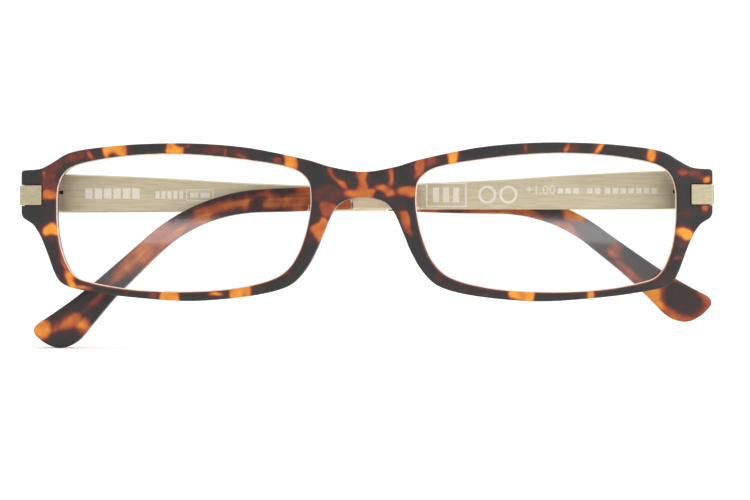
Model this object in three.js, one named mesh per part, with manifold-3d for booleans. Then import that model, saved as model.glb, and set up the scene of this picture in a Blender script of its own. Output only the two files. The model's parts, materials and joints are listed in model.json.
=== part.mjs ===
// Folding reading glasses: a plastic full-rim front, two meniscus lenses, and two metal temples with
// plastic tips that fold behind the front on three-barrel hinges. They are modelled folded and upright.
// Millimetres. +X is to the right as seen from the front, -Y faces forward, +Z is up.
// Heights are first measured from the datum line through the middle of both lenses; the finished model is
// then moved so that the origin is at the bottom centre of its box.
import * as THREE from 'three';
import { mergeVertices } from 'three/addons/utils/BufferGeometryUtils.js';
import Module from 'manifold-3d';

const wasm = await Module();
wasm.setup();

// ---- Driving dimensions ----
const GAP = 0.3; // clearance between pieces that touch or are let into each other
const SIDES = [{ name: 'right', sign: 1 }, { name: 'left', sign: -1 }];

// Front: bent to one large radius in plan
const FACE_RADIUS = 450;
const RIM_DEPTH = 3.4;
const RIM_ROUND = 0.5;
const END_DEPTH = 5;
const END_BACK = 9.7; // flat back of the end pieces, where the temples butt when open
const END_INNER_X = 62;
const END_FOOT_Z = 0.9;
const SIDE_X = 68.05;
const SIDE_TOP = 9.9;
const SIDE_FOOT = 1.9;
const CORNER_ROUND = 0.6;

// Right half of the outline [x, z]: along the brow, and from the end piece under the lens to the bridge
const BROW = [
  [0, 9.88], [6.1, 10.8], [11.6, 12.4], [22.8, 14.65], [34, 15.55], [45, 15.42], [54, 14.65],
  [58.6, 13.7], [61.6, 12], [64.2, 10.75], [SIDE_X - CORNER_ROUND, SIDE_TOP + CORNER_ROUND],
];
const UNDERSIDE = [
  [SIDE_X, SIDE_FOOT], [67.6, 0.95], [66.3, 0.15], [65.4, -0.65], [64.3, -2.3], [63.1, -5], [61.4, -9.5],
  [60.3, -11.4], [58.6, -12.5], [55.6, -13.25], [47.8, -14.4], [36.4, -15.3], [28.4, -15.04],
  [20.3, -14.03], [15, -12.55], [12.3, -10.46], [10.03, -7.2], [7.9, -2.4], [6.2, 1.6], [4.5, 3.75],
  [2.3, 4.65], [0, 4.86],
];
// Lens opening of the right rim [x, z], a closed loop
const OPENING = [
  [14, 10.7], [11.8, 9.5], [10.5, 7.9], [10.1, 5.2], [10.3, 1.8], [11.4, -3], [13, -6.9], [14.9, -9.4],
  [17.4, -11], [24.6, -12.85], [35.4, -13.6], [46.3, -13.15], [54.3, -11.75], [56.8, -10.85], [58.4, -9.2],
  [59.95, -5.6], [60.75, -1.3], [60.95, 3], [60.7, 7.2], [59.6, 9.7], [57.6, 11.2], [52, 12.55],
  [43.5, 13.45], [34, 13.45], [22.5, 12.3],
];
const OPENING_STEPS = 54;
const CURVE_STEPS = 2; // points for each stretch of a curved outline

// Moulded nose pads
const PAD = { x: 10.3, y: 3.3, z: -4.6, across: 1.35, deep: 4.2, high: 4.6, lean: 25, splay: 8, front: 1 };

// Lenses: the back radius follows from the power
const LENS_POWER = 1; // dioptres
const LENS_INDEX = 1.49;
const LENS_FRONT_RADIUS = 350;
const LENS_BACK_RADIUS = 1 / (1 / LENS_FRONT_RADIUS - LENS_POWER / (LENS_INDEX - 1) / 1000);
const LENS_CENTRE_X = 35.6;
const LENS_THICKNESS = 1.7;
const LENS_SETBACK = 0.55; // front vertex behind the rim's front face
const LENS_SEAT = 0.5; // how far the lens reaches into the rim
const LENS_BLANK_RADIUS = 32;

// Metal trims that wrap round the end pieces
const TRIM = { innerX: 63.82, outerX: 68.35, back: 9.4, z: 5.5, height: 3.9, thick: 0.8, proud: 0.35, edge: 0.15 };
const TRIM_PEG = { x: 65.6, radius: 0.6, length: 1.2 };

// Hinges
const PIVOT = { x: 64.8, y: 11.2, z: 6.6 };
const BARREL_RADIUS = 1.4;
const BARREL_TOP = 2.25; // above the hinge's middle, and as far below it
const BARREL_MIDDLE = 0.7;
const BARREL_GAP = 0.2;
const BORE_RADIUS = 0.85;
const WEB = 1.2;
const LEAF = { innerX: 61.95, outerX: 66.1, thick: 0.8, half: 2.3 };
const RIVET = { x: 63, rise: 1.1, radius: 0.45, length: 2.6, headRadius: 0.75, headThick: 0.35 };
const SCREW = { radius: 0.7, headRadius: 1.15, headThick: 0.5, slotWide: 0.32, slotDeep: 0.25 };

// Temples, in the hinge's own axes: u runs from the pivot along the temple, offsets go away from the front
const PLATE = { inner: 1.7, outer: 2.9, butt: -1.2, chamfer: 0.25 };
const PLATE_TOP = [[13, 9.95], [25, 9.4], [38, 8.6], [54, 7.95]];
const PLATE_HEEL_TOP = 10.5;
const PLATE_HEEL_FOOT = 2.5;
const NOTCH = { end: 2.1, leafEnd: 1.8, slotEnd: 3.65, slotHalf: 0.35, slotZ: 6.27 };
const TIP_HEIGHT = 4.7;
const TIP_MIDDLE = 5.2; // height of the joint between plate and tip
const TIP_SLOPE = 2;
const TIP_THICK = 3.4;
const TIP_ROUND = 0.8;
const BEND_RADIUS = 34;
const CORE = { half: 1, thick: 1, length: 57 };
// Each temple's turn from parallel to the front when folded, how high its plate sits on the hinge and how far
// it dips towards the tip, where the tip starts and how long it is, and where and how far it bends down
const TEMPLES = [
  { ...SIDES[0], fold: 1.85, lift: 0.27, dip: 0.37, joint: 67.7, tip: 71.1, bendStart: 85.45, drop: 43 },
  { ...SIDES[1], fold: 1.5, lift: -0.3, dip: 0, joint: 68.9, tip: 70, bendStart: 91.4, drop: 37.5 },
];
// Outline of a tip: [distance along its centre line, distance above it], from its joint round to its joint
const TIP_LENGTH = 70.7;
const TIP_UPPER = [[14, 2.4], [28, 2.1], [39, 2.1], [48, 2.3], [58, 2.8], [65, 3.65], [69.1, 4.3]];
const TIP_END = [[70.5, 3.7], [70.7, 2.2], [70.3, 0.1], [69.2, -2], [67.4, -3.25], [64.7, -3.75], [60.5, -3.2]];
const TIP_LOWER = [[54, -2.45], [48, -2.2], [39, -2], [28, -2.05], [14, -2.35]];

const PLASTIC = { color: 0x5c3422, roughness: 0.45, metalness: 0 };
const CLEAR = { color: 0xeef2f2, roughness: 0.05, metalness: 0, transparent: true, opacity: 0.35 };
const GOLD = { color: 0xb8a98a, roughness: 0.35, metalness: 1 };
const STEEL = { color: 0xb9b4a8, roughness: 0.3, metalness: 1 };

// ---- Joining and cutting ----
function solid(geometry) {
  const bare = geometry.clone();
  bare.deleteAttribute('normal');
  bare.deleteAttribute('uv');
  const merged = mergeVertices(bare);
  const triVerts = [];
  for (let i = 0; i < merged.index.count; i += 3) {
    const corners = Array.from(merged.index.array.slice(i, i + 3));
    // a lathe folds some of its triangles flat where its profile meets the axis
    if (new Set(corners).size === 3) triVerts.push(...corners);
  }
  return new wasm.Manifold(new wasm.Mesh({
    numProp: 3,
    vertProperties: Float32Array.from(merged.attributes.position.array),
    triVerts: Uint32Array.from(triVerts),
  }));
}

function geometryOf(manifold) {
  const mesh = manifold.getMesh();
  const geometry = new THREE.BufferGeometry();
  geometry.setAttribute('position', new THREE.BufferAttribute(mesh.vertProperties, 3));
  geometry.setIndex(new THREE.BufferAttribute(mesh.triVerts, 1));
  geometry.computeVertexNormals();
  return geometry;
}

const join = (first, ...others) => others.reduce((whole, piece) => whole.add(piece), first);
const cut = (first, ...others) => others.reduce((whole, piece) => whole.subtract(piece), first);

// ---- Basic shapes ----
const mirrored = (points) => points.map(([x, z]) => [-x, z]).reverse();
const vectors = (points) => points.map(([x, z]) => new THREE.Vector2(x, z));

function smooth(points, steps = CURVE_STEPS) {
  return new THREE.SplineCurve(vectors(points)).getPoints(steps * (points.length - 1));
}

function smoothLoop(points, steps) {
  const corners = points.map(([x, z]) => new THREE.Vector3(x, z, 0));
  const curve = new THREE.CatmullRomCurve3(corners, true, 'centripetal');
  return curve.getSpacedPoints(steps).slice(0, -1).map((p) => new THREE.Vector2(p.x, p.y));
}

function offsetLoop(points, distance) {
  const turn = Math.sign(THREE.ShapeUtils.area(points));
  return points.map((point, i) => {
    const before = points[(i + points.length - 1) % points.length];
    const after = points[(i + 1) % points.length];
    const along = after.clone().sub(before).normalize();
    return new THREE.Vector2(point.x + along.y * distance * turn, point.y - along.x * distance * turn);
  });
}

// A shape drawn in x and z, extruded from y0 to y1 with its edges rounded or chamfered
function slab(shape, y0, y1, round = 0, segments = 2) {
  const geometry = new THREE.ExtrudeGeometry(shape, {
    depth: y1 - y0 - 2 * round,
    bevelEnabled: round > 0,
    bevelThickness: round,
    bevelSize: round,
    bevelOffset: -round,
    bevelSegments: segments,
    curveSegments: 6,
  });
  return geometry.rotateX(Math.PI / 2).translate(0, y1 - round, 0);
}

function box(x0, x1, y0, y1, z0, z1) {
  const geometry = new THREE.BoxGeometry(Math.abs(x1 - x0), Math.abs(y1 - y0), Math.abs(z1 - z0));
  return geometry.translate((x0 + x1) / 2, (y0 + y1) / 2, (z0 + z1) / 2);
}

function uprightCylinder(radius, z0, z1, x = 0, y = 0) {
  const geometry = new THREE.CylinderGeometry(radius, radius, z1 - z0, 20);
  return geometry.rotateX(Math.PI / 2).translate(x, y, (z0 + z1) / 2);
}

function levelCylinder(radius, y0, y1, x, z) {
  return new THREE.CylinderGeometry(radius, radius, y1 - y0, 16).translate(x, (y0 + y1) / 2, z);
}

// ---- Front ----
const faceY = (x) => (x * x) / (2 * FACE_RADIUS);

function bend(geometry) {
  const position = geometry.attributes.position;
  for (let i = 0; i < position.count; i += 1) {
    position.setY(i, position.getY(i) + faceY(position.getX(i)));
  }
  return geometry;
}

// Counter-clockwise on either side, as a hole in the front's clockwise outline must be
function openingLoop(sign, grow) {
  const loop = offsetLoop(smoothLoop(OPENING, OPENING_STEPS), grow);
  return sign > 0 ? loop : loop.map((p) => new THREE.Vector2(-p.x, p.y)).reverse();
}

// Quarter circle at the top outer corner of an end piece, without its two ends
function cornerArc(centreX, startAngle) {
  const arc = new THREE.EllipseCurve(
    centreX, SIDE_TOP, CORNER_ROUND, CORNER_ROUND, startAngle, startAngle - Math.PI / 2, true,
  );
  return arc.getPoints(3).slice(1, -1);
}

function frontShape() {
  const centreX = SIDE_X - CORNER_ROUND;
  const brow = smooth([...mirrored(BROW), ...BROW.slice(1)]);
  const underside = smooth([...UNDERSIDE, ...mirrored(UNDERSIDE).slice(1)]);
  const shape = new THREE.Shape([
    ...brow,
    ...cornerArc(centreX, Math.PI / 2),
    new THREE.Vector2(SIDE_X, SIDE_TOP),
    ...underside,
    new THREE.Vector2(-SIDE_X, SIDE_TOP),
    ...cornerArc(-centreX, Math.PI),
  ]);
  shape.holes = SIDES.map(({ sign }) => new THREE.Path(openingLoop(sign, 0)));
  return shape;
}

// The back half of a leaning egg, grown out of the nasal side of a rim
function nosePad(sign) {
  const geometry = new THREE.SphereGeometry(1, 16, 10).scale(PAD.across, PAD.deep, PAD.high);
  geometry.rotateZ(-sign * THREE.MathUtils.degToRad(PAD.splay));
  geometry.rotateY(-sign * THREE.MathUtils.degToRad(PAD.lean));
  const egg = solid(geometry.translate(sign * PAD.x, PAD.y, PAD.z));
  const behindFace = solid(box(sign * PAD.x - 9, sign * PAD.x + 9, PAD.front, 20, PAD.z - 9, PAD.z + 9));
  const opening = solid(slab(new THREE.Shape(openingLoop(sign, 0)), -5, 20));
  return cut(egg.intersect(behindFace), opening);
}

function frontFrame() {
  const outline = frontShape();
  const rims = solid(bend(slab(outline, 0, RIM_DEPTH, RIM_ROUND, 1)));
  const deep = solid(bend(slab(outline, 0, END_DEPTH + 1, RIM_ROUND, 1)));
  const ends = SIDES.map(({ sign }) => {
    const reach = solid(box(sign * END_INNER_X, sign * (SIDE_X + 1), 0, END_BACK, END_FOOT_Z, SIDE_TOP + 3));
    return deep.intersect(reach);
  });
  const pads = SIDES.map(({ sign }) => nosePad(sign));
  const grooves = SIDES.map(({ sign }) => lensSolid(sign, GAP));
  const pockets = SIDES.flatMap(({ sign }) => [trimSolid(sign, GAP), leafPocket(sign), ...rivetHoles(sign)]);
  return cut(join(rims, ...ends, ...pads), ...grooves, ...pockets);
}

// ---- Lenses ----
function lensBlank(grow) {
  const sag = (radius, r) => radius - Math.sqrt(radius * radius - r * r);
  const radii = [0, 0.3, 0.6, 0.85, 1].map((share) => share * LENS_BLANK_RADIUS);
  const front = radii.map((r) => new THREE.Vector2(r, sag(LENS_FRONT_RADIUS, r) - grow));
  const back = radii.map((r) => new THREE.Vector2(r, sag(LENS_BACK_RADIUS, r) + LENS_THICKNESS + grow));
  return new THREE.LatheGeometry([...front, ...back.reverse()], 36);
}

function lensSolid(sign, grow) {
  const x = sign * LENS_CENTRE_X;
  const blank = lensBlank(grow).rotateZ(Math.atan(x / FACE_RADIUS));
  blank.translate(x, faceY(x) + LENS_SETBACK, 0);
  const outline = new THREE.Shape(openingLoop(sign, LENS_SEAT + grow));
  return solid(blank).intersect(solid(slab(outline, -5, 20)));
}

// ---- Metal trims ----
// Plan of the trim: a plate on the front face that turns back along the side of the end piece
function trimPlan(sign, grow) {
  const { innerX, outerX, back, thick, proud } = TRIM;
  const face = (x) => faceY(x) - proud;
  const corner = 0.4;
  const points = [
    [innerX - grow, face(innerX) - grow],
    [outerX - corner + grow, face(outerX) - grow],
    [outerX + grow, face(outerX) + corner - grow],
    [outerX + grow, back + grow],
    [outerX - thick - grow, back + grow],
    [outerX - thick - grow, face(outerX) + thick + grow],
    [innerX - grow, face(innerX) + thick + grow],
  ];
  return new THREE.Shape(vectors(points.map(([x, y]) => [sign * x, y])));
}

function trimSolid(sign, grow) {
  const { height, edge, z } = TRIM;
  const rise = height + 2 * grow;
  const geometry = new THREE.ExtrudeGeometry(trimPlan(sign, grow), {
    depth: rise - 2 * edge,
    bevelThickness: edge,
    bevelSize: edge,
    bevelOffset: -edge,
    bevelSegments: 1,
  });
  const plate = solid(geometry.translate(0, 0, z - rise / 2 + edge));
  const start = faceY(TRIM_PEG.x);
  const peg = levelCylinder(TRIM_PEG.radius + grow, start, start + TRIM_PEG.length + grow, sign * TRIM_PEG.x, z);
  return join(plate, solid(peg));
}

// ---- Hinges ----
const BARREL_LEVELS = [[-BARREL_TOP, -BARREL_MIDDLE - BARREL_GAP], [BARREL_MIDDLE + BARREL_GAP, BARREL_TOP]];

function frontHinge(sign) {
  const middle = PIVOT.z;
  const backing = box(
    sign * LEAF.innerX, sign * LEAF.outerX, END_BACK - LEAF.thick, END_BACK, middle - LEAF.half, middle + LEAF.half,
  );
  const barrels = BARREL_LEVELS.flatMap(([low, high]) => [
    solid(uprightCylinder(BARREL_RADIUS, middle + low, middle + high, sign * PIVOT.x, PIVOT.y)),
    solid(box(
      sign * PIVOT.x - WEB / 2, sign * PIVOT.x + WEB / 2, END_BACK - LEAF.thick / 2, PIVOT.y,
      middle + low, middle + high,
    )),
  ]);
  const bore = solid(uprightCylinder(BORE_RADIUS, middle - 5, middle + 5, sign * PIVOT.x, PIVOT.y));
  return cut(join(solid(backing), ...barrels), bore, ...rivetHoles(sign));
}

function leafPocket(sign) {
  const half = LEAF.half + GAP;
  return solid(box(
    sign * (LEAF.innerX - GAP), sign * (LEAF.outerX + GAP), END_BACK - LEAF.thick - GAP, END_BACK + 1,
    PIVOT.z - half, PIVOT.z + half,
  ));
}

const rivetHeights = [['upper', PIVOT.z + RIVET.rise], ['lower', PIVOT.z - RIVET.rise]];

function rivetHoles(sign) {
  const depth = RIVET.length + GAP;
  return rivetHeights.map(([, z]) => solid(
    levelCylinder(RIVET.radius + GAP / 2, END_BACK - depth, END_BACK + 1, sign * RIVET.x, z),
  ));
}

function rivet(sign, z) {
  const x = sign * RIVET.x;
  const seat = END_BACK + 0.1;
  const shank = levelCylinder(RIVET.radius, END_BACK - RIVET.length, seat + RIVET.headThick / 2, x, z);
  const head = levelCylinder(RIVET.headRadius, seat, seat + RIVET.headThick, x, z);
  return join(solid(shank), solid(head));
}

function hingeScrew(sign) {
  const x = sign * PIVOT.x;
  const under = PIVOT.z + BARREL_TOP + 0.1;
  const top = under + SCREW.headThick;
  const shank = uprightCylinder(SCREW.radius, PIVOT.z - BARREL_TOP, under + 0.2, x, PIVOT.y);
  const head = uprightCylinder(SCREW.headRadius, under, top, x, PIVOT.y);
  const slot = box(
    x - 2, x + 2, PIVOT.y - SCREW.slotWide / 2, PIVOT.y + SCREW.slotWide / 2, top - SCREW.slotDeep, top + 1,
  );
  return cut(join(solid(shank), solid(head)), solid(slot));
}

// ---- Temples, built about their own pivot and pointing towards the other side ----
// Point at a distance along the tip's centre line and a height above it
function alongTip({ sign, lift, dip, joint, bendStart, drop }, distance, height) {
  const slope = THREE.MathUtils.degToRad(TIP_SLOPE);
  const straight = bendStart - joint;
  const turn = THREE.MathUtils.degToRad(drop) - slope;
  const turned = THREE.MathUtils.clamp((distance - straight) / BEND_RADIUS, 0, turn);
  const lead = Math.min(distance, straight);
  const rest = Math.max(distance - straight - BEND_RADIUS * turn, 0);
  const angle = slope + turned;
  const u = joint + lead * Math.cos(slope) + BEND_RADIUS * (Math.sin(angle) - Math.sin(slope))
    + rest * Math.cos(angle) + height * Math.sin(angle);
  const z = TIP_MIDDLE + lift - dip - lead * Math.sin(slope) - BEND_RADIUS * (Math.cos(slope) - Math.cos(angle))
    - rest * Math.sin(angle) + height * Math.cos(angle);
  return new THREE.Vector2(-sign * u, z);
}

function tipOutline(temple) {
  const half = TIP_HEIGHT / 2;
  const share = temple.tip / TIP_LENGTH;
  const loop = smooth([[GAP / 2, half], ...TIP_UPPER, ...TIP_END, ...TIP_LOWER, [GAP / 2, -half]]);
  return new THREE.Shape(loop.map((p) => alongTip(temple, p.x * share, p.y)));
}

function coreOutline(temple, grow) {
  const stops = Array.from({ length: 15 }, (_, i) => (i / 14) * (CORE.length + grow));
  const reach = CORE.half + grow;
  const upper = stops.map((s) => alongTip(temple, s - 1, reach));
  const lower = stops.map((s) => alongTip(temple, s - 1, -reach)).reverse();
  return new THREE.Shape([...upper, ...lower]);
}

const PLATE_MIDDLE = (PLATE.inner + PLATE.outer) / 2;

function coreSolid(temple, grow) {
  const half = CORE.thick / 2 + grow;
  return solid(slab(coreOutline(temple, grow), PLATE_MIDDLE - half, PLATE_MIDDLE + half));
}

function templePlate(temple) {
  const { sign, joint, lift, dip } = temple;
  const end = joint - GAP / 2;
  const half = TIP_HEIGHT / 2;
  const top = smooth([[PLATE.butt + 0.8, PLATE_HEEL_TOP], ...PLATE_TOP, [end, TIP_MIDDLE + half]], 3);
  const points = [
    [PLATE.butt, PLATE_HEEL_TOP - 0.8],
    ...top.map((p) => [p.x, p.y]),
    [end, TIP_MIDDLE - half],
    [PLATE.butt + 0.8, PLATE_HEEL_FOOT],
    [PLATE.butt, PLATE_HEEL_FOOT + 0.8],
  ];
  const placed = points.map(([u, z]) => [-sign * u, z + lift - dip * (u / joint)]);
  const outline = new THREE.Shape(vectors(placed));
  const blade = solid(slab(outline, PLATE.inner, PLATE.outer, PLATE.chamfer, 1));
  const rise = BARREL_MIDDLE + GAP;
  const notch = box(-sign * (PLATE.butt - 1), -sign * NOTCH.end, 0, 5, PIVOT.z - rise, PIVOT.z + rise);
  const { slotEnd, slotHalf, slotZ } = NOTCH;
  const slot = box(0, -sign * slotEnd, 0, 5, slotZ - slotHalf, slotZ + slotHalf);
  return cut(join(blade, coreSolid(temple, 0)), solid(notch), solid(slot));
}

function templeTip(temple) {
  const body = slab(
    tipOutline(temple), PLATE_MIDDLE - TIP_THICK / 2, PLATE_MIDDLE + TIP_THICK / 2, TIP_ROUND,
  );
  return cut(solid(body), coreSolid(temple, GAP));
}

function templeHinge({ sign }) {
  const low = PIVOT.z - BARREL_MIDDLE;
  const high = PIVOT.z + BARREL_MIDDLE;
  const barrel = solid(uprightCylinder(BARREL_RADIUS, low, high));
  const web = solid(box(sign * WEB / 2, -sign * WEB / 2, 0, PLATE.outer, low, high));
  const leaf = solid(box(sign * WEB / 2, -sign * NOTCH.leafEnd, PLATE.inner, PLATE.outer, low, high));
  const bore = solid(uprightCylinder(BORE_RADIUS, low - 1, high + 1));
  return cut(join(barrel, web, leaf), bore);
}

// ---- Assembly ----
function piece(name, shape, look) {
  const mesh = new THREE.Mesh(geometryOf(shape), new THREE.MeshStandardMaterial(look));
  mesh.name = name;
  return mesh;
}

function frontGroup() {
  const group = new THREE.Group();
  group.add(piece('front_frame', frontFrame(), PLASTIC));
  SIDES.forEach(({ name, sign }) => {
    group.add(piece(`lens_${name}`, lensSolid(sign, 0), CLEAR));
    group.add(piece(`corner_trim_${name}`, trimSolid(sign, 0), GOLD));
    group.add(piece(`hinge_front_${name}`, frontHinge(sign), STEEL));
    group.add(piece(`hinge_screw_${name}`, hingeScrew(sign), STEEL));
    rivetHeights.forEach(([level, z]) => {
      group.add(piece(`hinge_rivet_${level}_${name}`, rivet(sign, z), STEEL));
    });
  });
  return group;
}

function templeGroup(temple) {
  const group = new THREE.Group();
  group.add(piece(`hinge_temple_${temple.name}`, templeHinge(temple), STEEL));
  group.add(piece(`temple_plate_${temple.name}`, templePlate(temple), GOLD));
  group.add(piece(`temple_tip_${temple.name}`, templeTip(temple), PLASTIC));
  group.position.set(temple.sign * PIVOT.x, PIVOT.y, 0);
  group.rotation.z = THREE.MathUtils.degToRad(temple.fold);
  return group;
}

const glasses = new THREE.Group();
glasses.add(frontGroup());
TEMPLES.forEach((temple) => glasses.add(templeGroup(temple)));

const bounds = new THREE.Box3().setFromObject(glasses, true);
const centre = bounds.getCenter(new THREE.Vector3());
glasses.position.set(-centre.x, -centre.y, -bounds.min.z);
glasses.updateMatrixWorld(true);

export default glasses;
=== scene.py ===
"""Looks of the folding reading glasses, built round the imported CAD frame.

Lengths are millimetres in the front's own axes unless a name ends in _m: x to the right, y to the back,
z up from the line through the middle of both lenses. ORIGIN takes them to the frame's axes in metres.
"""
import json
import math

import bmesh
import bpy
import numpy as np
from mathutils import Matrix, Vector, geometry, noise


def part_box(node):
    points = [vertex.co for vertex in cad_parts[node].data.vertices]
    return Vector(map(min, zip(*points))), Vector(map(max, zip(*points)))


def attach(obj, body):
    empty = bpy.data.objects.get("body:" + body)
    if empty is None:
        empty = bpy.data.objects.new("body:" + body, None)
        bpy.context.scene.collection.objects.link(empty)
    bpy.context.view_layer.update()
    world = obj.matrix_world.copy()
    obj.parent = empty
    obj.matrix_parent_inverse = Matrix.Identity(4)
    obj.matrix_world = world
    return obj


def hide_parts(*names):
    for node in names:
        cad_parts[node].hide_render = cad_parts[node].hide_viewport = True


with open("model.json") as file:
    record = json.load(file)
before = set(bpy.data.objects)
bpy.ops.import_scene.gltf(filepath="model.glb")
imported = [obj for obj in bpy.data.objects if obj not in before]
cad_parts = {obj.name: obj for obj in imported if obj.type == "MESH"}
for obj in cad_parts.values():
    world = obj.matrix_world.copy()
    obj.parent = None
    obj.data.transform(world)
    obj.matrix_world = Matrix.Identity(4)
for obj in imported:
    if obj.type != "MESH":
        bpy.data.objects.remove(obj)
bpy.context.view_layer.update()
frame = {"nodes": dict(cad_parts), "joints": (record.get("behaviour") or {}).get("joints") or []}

noise.seed_set(1)  # otherwise noise_vector is seeded from the clock
MM = 0.001
JOINTS = {joint["child"]: joint for joint in frame["joints"]}
PIVOT = np.array([64.8, 11.2, 6.6])  # the middle of the right hinge
ORIGIN = np.array(JOINTS["temple_right"]["pos_m"]) / MM - PIVOT
SIDES = {"right": 1, "left": -1}

# ---- Dimensions of the design ----
GAP = 0.3  # play between two pieces that fit together, counted on both sides
FACE_RADIUS = 450  # bow of the front, seen from above
RIM_DEPTH = 3.4
END_BACK = 9.7  # where the end pieces stop at the back
END_INNER_X = 62  # where their deep part starts, going outwards
END_FOOT_Z = 0.9  # and going up
SIDE_X = 68.05
SIDE_TOP = 9.9
CORNER_ROUND = 0.6
# Half of the front's outline in x and z: the top from the middle outwards, then the underside back to it
BROW = [
    (0, 9.88), (6.1, 10.8), (11.6, 12.4), (22.8, 14.65), (34, 15.55), (45, 15.42), (54, 14.65),
    (58.6, 13.7), (61.6, 12), (64.2, 10.75), (SIDE_X - CORNER_ROUND, SIDE_TOP + CORNER_ROUND),
]
UNDERSIDE = [
    (SIDE_X, 1.9), (67.6, 0.95), (66.3, 0.15), (65.4, -0.65), (64.3, -2.3), (63.1, -5), (61.4, -9.5),
    (60.3, -11.4), (58.6, -12.5), (55.6, -13.25), (47.8, -14.4), (36.4, -15.3), (28.4, -15.04),
    (20.3, -14.03), (15, -12.55), (12.3, -10.46), (10.03, -7.2), (7.9, -2.4), (6.2, 1.6), (4.5, 3.75),
    (2.3, 4.65), (0, 4.86),
]
# The lens opening on the same side, all the way round
OPENING = [
    (14, 10.7), (11.8, 9.5), (10.5, 7.9), (10.1, 5.2), (10.3, 1.8), (11.4, -3), (13, -6.9), (14.9, -9.4),
    (17.4, -11), (24.6, -12.85), (35.4, -13.6), (46.3, -13.15), (54.3, -11.75), (56.8, -10.85),
    (58.4, -9.2), (59.95, -5.6), (60.75, -1.3), (60.95, 3), (60.7, 7.2), (59.6, 9.7), (57.6, 11.2),
    (52, 12.55), (43.5, 13.45), (34, 13.45), (22.5, 12.3),
]
PAD = {
    "x": 10.3, "y": 3.3, "z": -4.6, "across": 1.35, "deep": 4.2, "high": 4.6, "lean": 25, "splay": 8,
    "front": 1,  # flattened here, so that it stays behind the rim's face
}
LENS = {"front": 350, "back": 1186.7, "centre": 35.6, "thick": 1.7, "setback": 0.55, "seat": 0.4}
LENS_RINGS = 20
# Section of the line round a lens: how far outside the opening, and how far behind the lens's face
LENS_EDGE = [(-0.2, 0.02), (-0.14, -0.1), (0.12, -0.14), (0.12, 0.3), (-0.14, 0.16)]
TRIM = {
    "inner": 63.82, "outer": 68.35, "back": 9.4, "z": 5.5, "height": 3.9, "thick": 0.8, "proud": 0.35,
    "corner": 0.4, "gap": 0.14,
}
BROKEN_EDGE = {"steel": 0.05, "shade_block": 0.05, "trim": 0.12}  # widths of the bevels
RIVET = {"x": 63, "rise": 1.1, "radius": 0.6, "length": 2.9}
PLATE_INNER = 1.7
PLATE_OUTER = 2.9
PLATE_MIDDLE = (PLATE_INNER + PLATE_OUTER) / 2
TIP_HEIGHT = 4.7
TIP_MIDDLE = 5.2
TIP_SLOPE = math.radians(2)
TIP_THICK = 3.4
TIP_LENGTH = 70.7
BEND_RADIUS = 34
CORE = {"half": 1, "thick": 1, "length": 57}  # the wire inside a tip
# Corners of the dark block behind a hinge slot, painted shade that stands in for the shade inside the slot,
# in a temple's own axes
SLOT_SHADE_BLOCK = ((2.16, 1.95, 5.93), (3.64, 2.6, 6.61))
TEMPLES = {
    "right": {"lift": 0.27, "dip": 0.37, "joint": 67.7, "tip": 71.1, "bend_start": 85.45, "drop": 43},
    "left": {"lift": -0.3, "dip": 0, "joint": 68.9, "tip": 70, "bend_start": 91.4, "drop": 37.5},
}
# Outline of a tip along its centre line: distance along it, and height above it
TIP_OUTLINE = [
    (GAP / 2, TIP_HEIGHT / 2), (14, 2.4), (28, 2.1), (39, 2.1), (48, 2.3), (58, 2.8), (65, 3.65),
    (69.1, 4.3), (70.5, 3.7), (70.7, 2.2), (70.3, 0.1), (69.2, -2), (67.4, -3.25), (64.7, -3.75),
    (60.5, -3.2), (54, -2.45), (48, -2.2), (39, -2), (28, -2.05), (14, -2.35), (GAP / 2, -TIP_HEIGHT / 2),
]

# ---- Marks on the plates' inner faces, with u from the hinge towards the tip ----
INK = {"thick": 0.03, "sunk": 0.02}
RING = {"outer": 1.8, "inner": 1.3}
MARKS = {
    "right": {
        "boxes": [(44.7, 52.8, 3.2, 8.1, 0.28)],  # u and z from and to, and the width of the line
        "bars": [  # first u, step, how many, width, and z from and to
            (46.2, 2, 3, 1.2, 4.2, 7.1), (22.4, 1.55, 3, 1.1, 5.9, 7), (18.1, 1.55, 2, 1.1, 5.9, 7),
            (6.8, 1.55, 7, 1.1, 5.9, 7),
        ],
        "rings": [(40.6, 5.7), (36.4, 5.7)],  # middles
        "numerals": [("+1.00", 33, 5.8, 2.6)],  # text, u, z and size
    },
    "left": {
        "boxes": [(28.5, 34, 4.5, 6.9, 0.2)],
        "bars": [
            (8.1, 1.9, 6, 1.5, 5, 7.1), (22.3, 1.2, 5, 0.8, 5, 6.5), (29.3, 0, 1, 1.6, 5.2, 6.2),
            (31.4, 0, 1, 1.8, 5.2, 6.2),
        ],
        "rings": [],
        "numerals": [],
    },
}

# ---- Camera and lights: the lights' places and sizes are metres in the frame's axes ----
CAMERA = {"aim_x": 2.31, "height": -5.33, "distance": 400, "yaw": math.radians(2.53), "lens": 98.97}
LIGHT_AIM = (0, 0, 0.02)
LIGHTS = {
    "key": {"place": (1.4, -0.9, 0.8), "wide": 1.2, "high": 1.0, "power": 14},
    "low_front": {"place": (0, -1.0, 0.022), "wide": 1.6, "high": 0.04, "power": 0.55},
}
WORLD_STRENGTH = 1.12


# ---- Curves and points ----
def to_metres(points):
    return (np.asarray(points, float) + ORIGIN) * MM


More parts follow.
